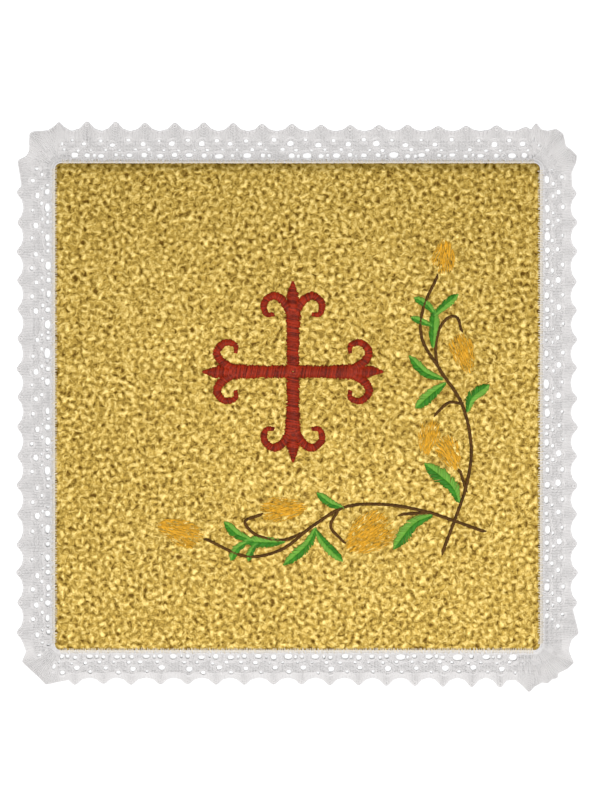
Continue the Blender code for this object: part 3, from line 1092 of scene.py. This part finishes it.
class PALL_OT_spray(bpy.types.Operator):
    """Embroider the corner spray: two crossed branches with leaves and buds"""
    bl_idname = "pall.spray"
    bl_label = "Corner spray"
    bl_options = {"REGISTER", "UNDO"}

    def execute(self, context):
        settings = context.scene.pall_embroidery
        rng = random.Random(23)
        buds, one_side, other_side, stems = [], [], [], []
        for bud in BUDS:
            buds += long_and_short(bud, settings, rng)
        for leaf in LEAVES:
            left, right = fishbone(leaf["line"], leaf["width"], settings, rng)
            one_side += left
            other_side += right
        for stem in STEMS:
            half = stem["width"] * 0.62
            stems += satin(stem["line"], (half, half, half, half * 0.85), settings, rng,
                           60.0, 0.95, 0.18, 0.26 * MM)
        add_embroidery("bud_stitches", buds, shaded(settings.orange, 0.72),
                       shaded(settings.orange, 1.25))
        add_embroidery("leaf_shade_stitches", one_side, shaded(settings.green, 0.55),
                       settings.green)
        add_embroidery("leaf_light_stitches", other_side, shaded(settings.light_green, 0.75),
                       settings.light_green)
        add_embroidery("stem_stitches", stems, shaded(settings.brown, 0.6),
                       shaded(settings.brown, 1.5), 0.9, 0.6)
        return {"FINISHED"}


# Stage

class PALL_OT_stage(bpy.types.Operator):
    """Lay the pale floor, light it and set the camera straight above"""
    bl_idname = "pall.stage"
    bl_label = "Stage"
    bl_options = {"REGISTER", "UNDO"}

    AIM = (0.77 * MM, 2.0 * MM, 0.0)
    FLOOR_SIZE = 3.0
    FLOOR_LEVEL = -0.1 * MM
    LAMP_SIZE = 0.8
    LAMP_PLACE = (0.04, -0.24, 1.65)
    FAR_SIDE = 0.32

    def execute(self, context):
        settings = context.scene.pall_stage
        deselect_all()
        bpy.ops.mesh.primitive_plane_add(
            size=self.FLOOR_SIZE, location=(0.0, 0.0, self.FLOOR_LEVEL))
        floor = context.active_object
        floor.name = "floor"
        material, tree, shader = new_material("pale_floor", 0.9)
        shader.inputs["Base Color"].default_value = (0.93, 0.93, 0.93, 1.0)
        floor.data.materials.append(material)

        lamp = bpy.data.lights.new("window_light", "AREA")
        lamp.size = self.LAMP_SIZE
        lamp.energy = settings.key
        window = bpy.data.objects.new("window_light", lamp)
        window.location = self.LAMP_PLACE
        window.rotation_euler = (-window.location).to_track_quat("-Z", "Y").to_euler()
        context.scene.collection.objects.link(window)
        self.light_room(context.scene, settings.fill)

        eye = bpy.data.cameras.new("camera")
        eye.lens = settings.lens
        eye.sensor_width = 36.0
        camera = bpy.data.objects.new("camera", eye)
        distance = settings.view_height * settings.lens / eye.sensor_width
        camera.location = (self.AIM[0], self.AIM[1], distance)
        context.scene.collection.objects.link(camera)
        context.scene.camera = camera
        context.scene.view_settings.view_transform = "Standard"
        return {"FINISHED"}

    def light_room(self, scene, strength):
        """A pale room that is dimmer towards +Y, so the rim there falls into shade."""
        scene.world = scene.world or bpy.data.worlds.new("room")
        scene.world.use_nodes = True
        tree = scene.world.node_tree
        background = tree.nodes["Background"]
        background.inputs["Color"].default_value = (0.97, 0.98, 1.0, 1.0)
        way = tree.nodes.new("ShaderNodeSeparateXYZ")
        tree.links.new(tree.nodes.new("ShaderNodeTexCoord").outputs["Generated"], way.inputs[0])
        dimmed = map_range(tree, way.outputs["Y"], 0.05, 0.75, strength, self.FAR_SIDE * strength)
        tree.links.new(dimmed, background.inputs["Strength"])


# Sidebar

STEPS = (PALL_OT_stage, PALL_OT_panel, PALL_OT_lace, PALL_OT_seam, PALL_OT_cross, PALL_OT_spray)
GROUPS = {
    "pall_panel": PallPanelSettings,
    "pall_lace": PallLaceSettings,
    "pall_embroidery": PallEmbroiderySettings,
    "pall_stage": PallStageSettings,
}


class PALL_PT_sidebar(bpy.types.Panel):
    bl_idname = "PALL_PT_sidebar"
    bl_label = "Chalice Pall"
    bl_space_type = "VIEW_3D"
    bl_region_type = "UI"
    bl_category = "Pall"

    def draw(self, context):
        for name, group in GROUPS.items():
            box = self.layout.box()
            for title in group.__annotations__:
                box.prop(getattr(context.scene, name), title)
        for step in STEPS:
            self.layout.operator(step.bl_idname)


def register():
    for group in GROUPS.values():
        bpy.utils.register_class(group)
    for step in STEPS:
        bpy.utils.register_class(step)
    bpy.utils.register_class(PALL_PT_sidebar)
    for name, group in GROUPS.items():
        setattr(bpy.types.Scene, name, PointerProperty(type=group))


def unregister():
    for name in GROUPS:
        delattr(bpy.types.Scene, name)
    bpy.utils.unregister_class(PALL_PT_sidebar)
    for step in reversed(STEPS):
        bpy.utils.unregister_class(step)
    for group in reversed(GROUPS.values()):
        bpy.utils.unregister_class(group)


def main():
    register()
    bpy.ops.pall.stage()
    bpy.ops.pall.panel()
    bpy.ops.pall.lace()
    bpy.ops.pall.seam()
    bpy.ops.pall.cross()
    bpy.ops.pall.spray()


if __name__ == "__main__":
    main()
